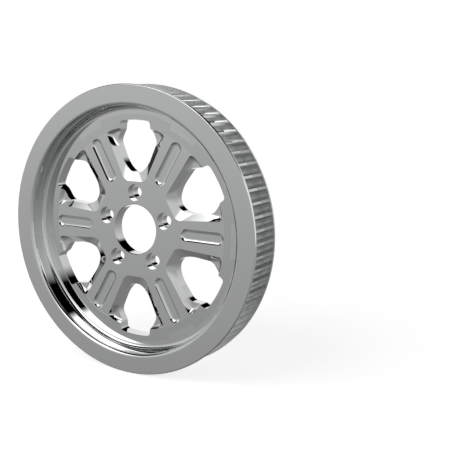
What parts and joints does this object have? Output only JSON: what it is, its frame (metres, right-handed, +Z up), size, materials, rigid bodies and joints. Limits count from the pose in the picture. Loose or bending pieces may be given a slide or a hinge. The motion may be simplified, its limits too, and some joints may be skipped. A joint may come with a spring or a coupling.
{
  "type": "belt pulley",
  "caption": "Chromed rear drive belt pulley: toothed rim between lips, dished face with slotted spokes, shaped windows, a raised ring and a bolted hub.",
  "frame": {"origin": "on the spin axis, in the rear face of the hub that seats on the wheel", "axes": "+Y along the spin axis, from the dressed face towards the wheel; +Z up, with one bolt hole straight up"},
  "size_m": [0.32, 0.045, 0.32],
  "materials": {
    "chrome": "polished chrome plate"
  },
  "bodies": {
    "root": {"pulley": "chrome"}
  },
  "joints": []
}
